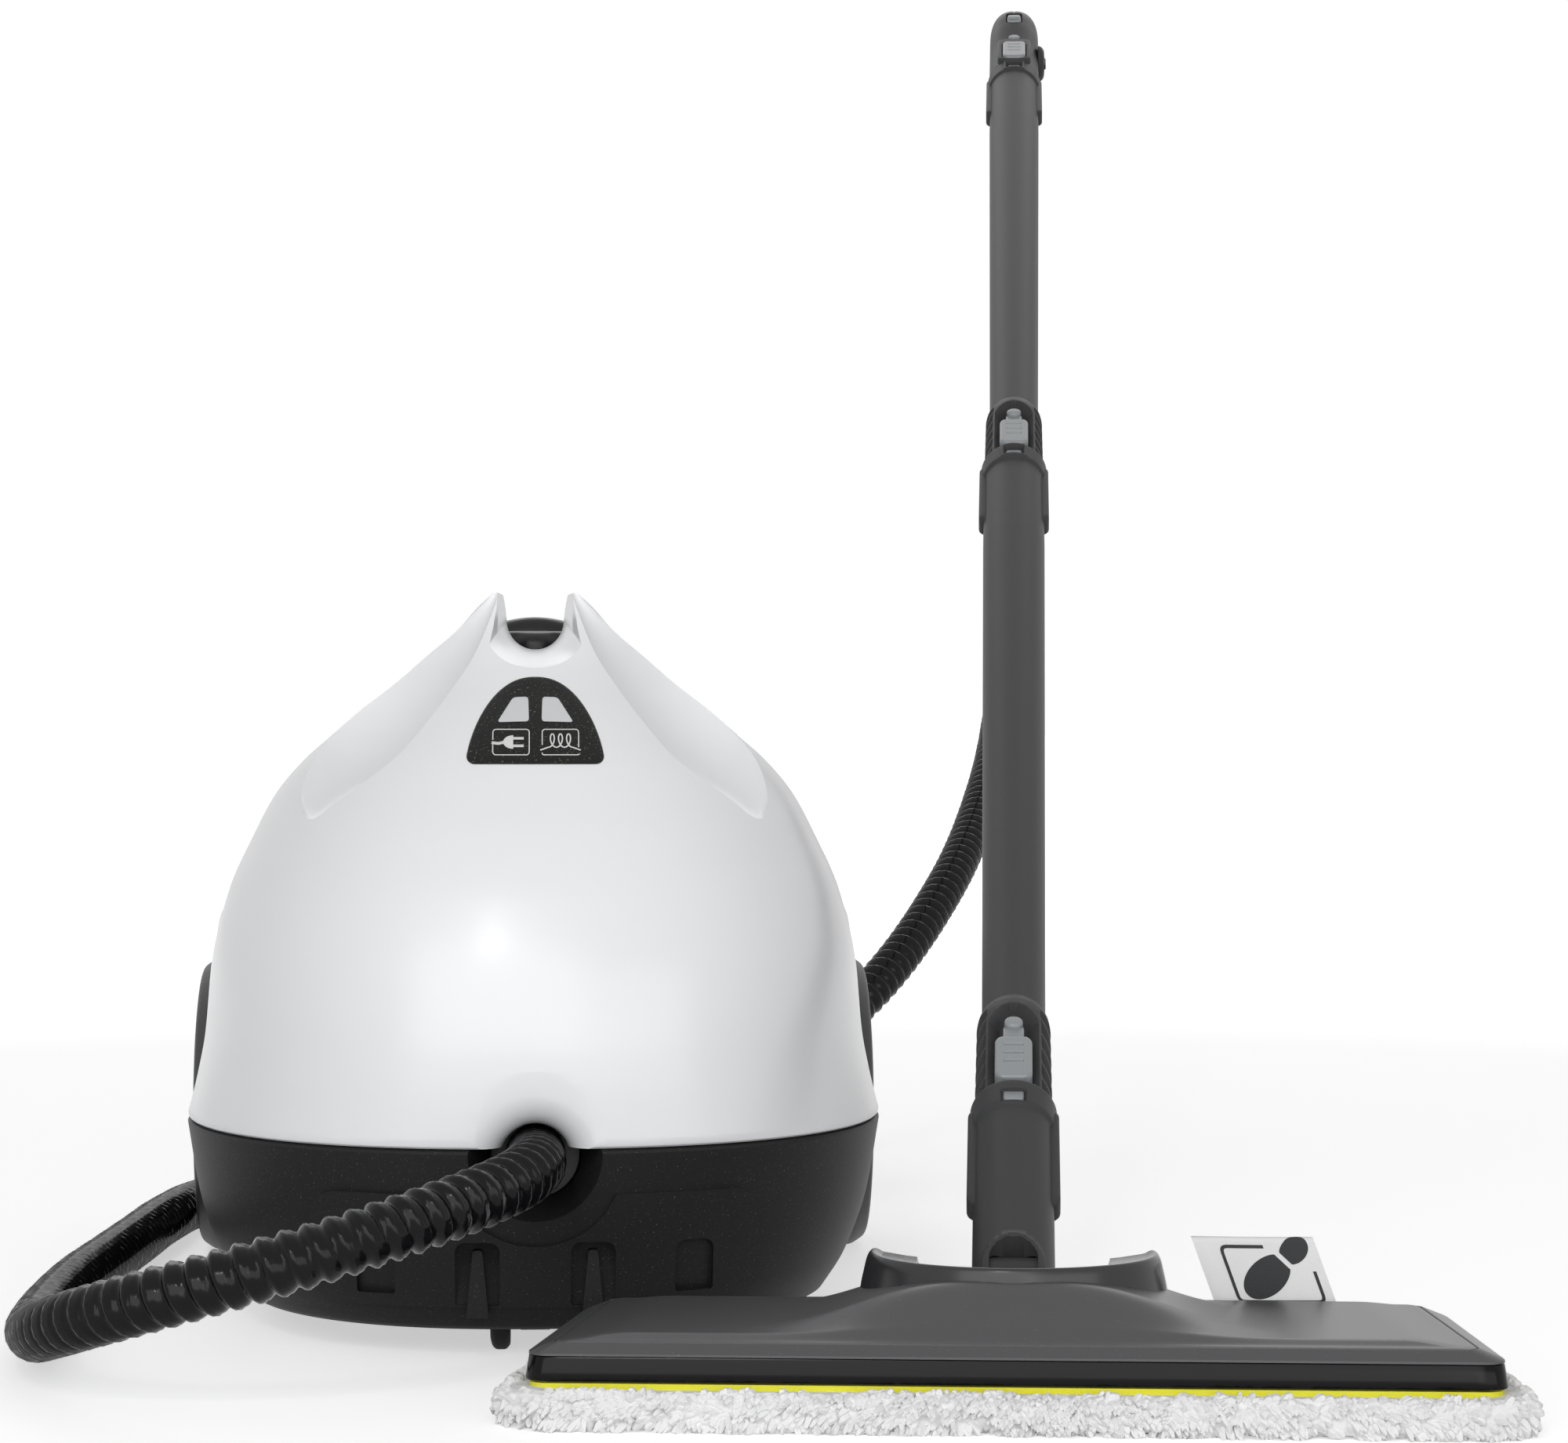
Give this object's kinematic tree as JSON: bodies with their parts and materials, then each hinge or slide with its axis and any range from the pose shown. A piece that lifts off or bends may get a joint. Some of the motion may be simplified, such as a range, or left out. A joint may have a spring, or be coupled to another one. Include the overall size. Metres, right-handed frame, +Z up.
{
  "type": "steam mop",
  "caption": "Canister steam cleaner on wheels, its steam hose, a gun on two tubes and a flat hinged floor head with a pile cloth.",
  "frame": {"origin": "middle of the footprint of all but the hose, on the floor", "axes": "+Z up, -Y the side that the hose leaves and the floor head stands on, +Y along the tubes, +X to the right seen from the front"},
  "size_m": [0.4907, 1.2877, 0.6359],
  "materials": {
    "housing_white": "glossy moulded white",
    "textured_black": "fine spark-eroded texture",
    "gloss_black": "high gloss",
    "charcoal_plastic": "satin with a fine grain",
    "latch_grey": "satin",
    "lamp_window": "translucent, smooth",
    "steel": "brushed",
    "brass": "turned",
    "rubber": "matt",
    "circuit_board": "lacquered",
    "yellow_loop": "hook-and-loop weave",
    "microfibre": "long looped pile",
    "woven_tag": "woven ribbon"
  },
  "bodies": {
    "unit": {"bonnet": "housing_white", "indicator_panel": "textured_black", "lamp_window_left": "lamp_window", "lamp_window_right": "lamp_window", "base_shell": "textured_black", "base_screw_1": "steel", "base_screw_2": "steel", "base_screw_3": "steel", "base_screw_4": "steel", "mains_inlet_gland": "rubber", "hose_outlet": "textured_black", "boiler_lower": "steel", "boiler_upper": "steel", "filler_neck": "brass", "boiler_cradle": "textured_black", "heating_element": "steel", "thermostat": "textured_black", "steam_valve": "brass", "unit_steam_pipe": "steel", "lamp_board": "circuit_board", "wheel_axle": "steel", "tube_lower": "charcoal_plastic", "tube_upper": "charcoal_plastic", "seal_lower": "rubber", "seal_upper": "rubber", "inner_pipe_lower": "housing_white", "inner_pipe_upper": "housing_white", "gun_shell_left": "charcoal_plastic", "gun_shell_right": "charcoal_plastic", "gun_connector": "charcoal_plastic", "gun_seal": "rubber", "gun_pipe": "steel", "trigger_pin": "steel", "hose_sleeve": "rubber", "nozzle_neck": "charcoal_plastic", "tilt_pin": "steel", "hose_tube": "gloss_black"},
    "wheel_left": {"wheel_left": "textured_black", "hub_cap_left": "textured_black"},
    "wheel_right": {"wheel_right": "textured_black", "hub_cap_right": "textured_black"},
    "castor_swivel": {"castor_fork": "textured_black"},
    "castor_roller": {"castor_wheel": "rubber"},
    "cap_plug": {"cap_plug": "brass", "cap_seal": "rubber"},
    "cap_grip": {"cap_grip": "textured_black"},
    "latch_lower": {"latch_lower": "latch_grey"},
    "latch_upper": {"latch_upper": "latch_grey"},
    "gun_latch": {"gun_latch": "latch_grey"},
    "trigger": {"trigger": "latch_grey"},
    "steam_selector": {"steam_selector": "charcoal_plastic"},
    "child_lock": {"child_lock": "latch_grey"},
    "cross_piece": {"cross_piece": "charcoal_plastic"},
    "floor_head": {"head_cover": "charcoal_plastic", "head_collar": "gloss_black", "base_plate": "textured_black", "hook_and_loop": "yellow_loop", "floor_cloth": "microfibre", "foot_tag": "woven_tag"}
  },
  "joints": [
    {"name": "wheel_left_spin", "type": "hinge", "parent": "unit", "child": "wheel_left", "pos_m": [-0.20916, -0.16188, 0.06], "axis": [1, 0, 0], "continuous": true},
    {"name": "wheel_right_spin", "type": "hinge", "parent": "unit", "child": "wheel_right", "pos_m": [0.03684, -0.16188, 0.06], "axis": [1, 0, 0], "continuous": true},
    {"name": "castor_swivel", "type": "hinge", "parent": "unit", "child": "castor_swivel", "pos_m": [-0.08616, -0.41788, 0.036], "axis": [0, 0, 1], "continuous": true},
    {"name": "castor_roll", "type": "hinge", "parent": "castor_swivel", "child": "castor_roller", "pos_m": [-0.08616, -0.42888, 0.0125], "axis": [1, 0, 0], "continuous": true},
    {"name": "cap_lift", "type": "slide", "parent": "unit", "child": "cap_plug", "axis": [0, 0, 1], "range_m": [0, 0.04]},
    {"name": "cap_turn", "type": "hinge", "parent": "cap_plug", "child": "cap_grip", "pos_m": [-0.08616, -0.31188, 0.24], "axis": [0, 0, 1], "continuous": true},
    {"name": "latch_lower_press", "type": "slide", "parent": "unit", "child": "latch_lower", "axis": [0.0597, 0.4862, -0.8718], "range_m": [0, 0.0025], "stiffness_N_per_m": 300, "springref_m": -0.001},
    {"name": "latch_upper_press", "type": "slide", "parent": "unit", "child": "latch_upper", "axis": [0.0597, 0.4862, -0.8718], "range_m": [0, 0.0025], "stiffness_N_per_m": 300, "springref_m": -0.001},
    {"name": "gun_latch_press", "type": "slide", "parent": "unit", "child": "gun_latch", "axis": [0.0597, 0.4862, -0.8718], "range_m": [0, 0.0025], "stiffness_N_per_m": 300, "springref_m": -0.001},
    {"name": "trigger_pull", "type": "hinge", "parent": "unit", "child": "trigger", "pos_m": [0.19237, 0.48418, 0.60277], "axis": [0.9925, -0.1219, 0], "range_deg": [0, 9], "stiffness_Nm_per_rad": 0.4, "springref_deg": -5.73},
    {"name": "selector_turn", "type": "hinge", "parent": "unit", "child": "steam_selector", "pos_m": [0.20336, 0.45879, 0.59625], "axis": [0.9925, -0.1219, 0], "range_deg": [-30, 30]},
    {"name": "child_lock_slide", "type": "slide", "parent": "unit", "child": "child_lock", "axis": [0.1062, 0.8653, 0.4898], "range_m": [0, 0.004]},
    {"name": "neck_tilt", "type": "hinge", "parent": "unit", "child": "cross_piece", "pos_m": [0.06764, -0.53168, 0.0346], "axis": [0.9925, -0.1219, 0], "range_deg": [-60, 14]},
    {"name": "head_lean", "type": "hinge", "parent": "cross_piece", "child": "floor_head", "pos_m": [0.06764, -0.53168, 0.0346], "axis": [0.1219, 0.9925, 0], "range_deg": [-35, 5]}
  ]
}
